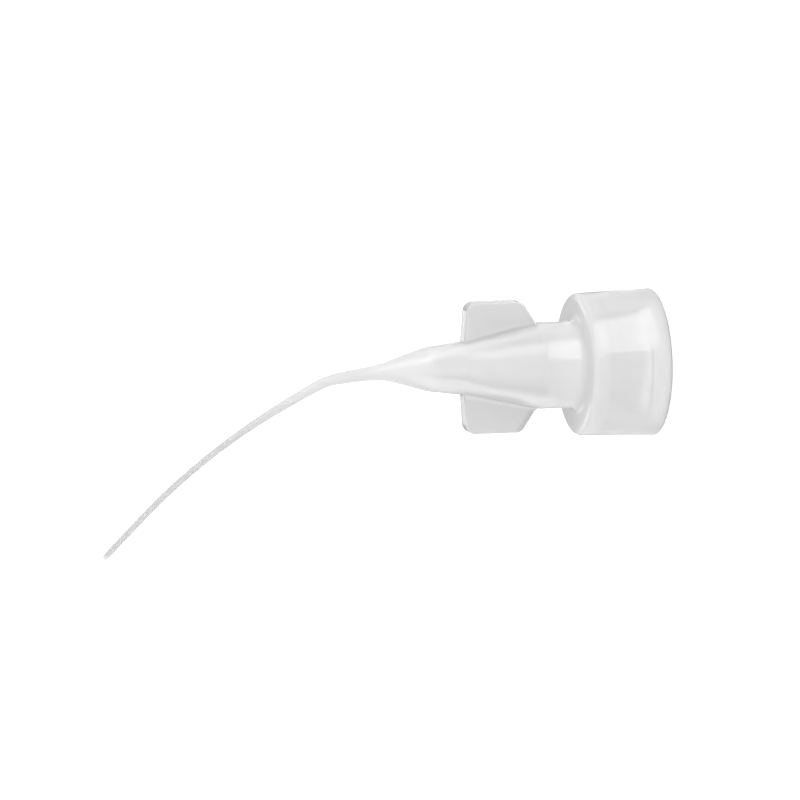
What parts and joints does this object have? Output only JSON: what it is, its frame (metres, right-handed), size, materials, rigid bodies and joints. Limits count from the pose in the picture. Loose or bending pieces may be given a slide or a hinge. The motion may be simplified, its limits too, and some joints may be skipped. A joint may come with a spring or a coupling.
{
  "type": "dispensing needle tip",
  "caption": "Moulded translucent luer-lock dispensing tip with a skirted hub, thumb wings and a long bent capillary spout.",
  "frame": {"origin": "middle of the skirt's mouth, in the plane of its rim", "axes": "+Z along the hub's axis, from the mouth towards the nozzle; the spout bends towards -X, in the plane of the two wings"},
  "size_m": [0.0205, 0.012, 0.0457],
  "materials": {
    "natural_polypropylene": "translucent, undyed, glossy as moulded"
  },
  "bodies": {
    "root": {"dispensing_tip": "natural_polypropylene"}
  },
  "joints": []
}
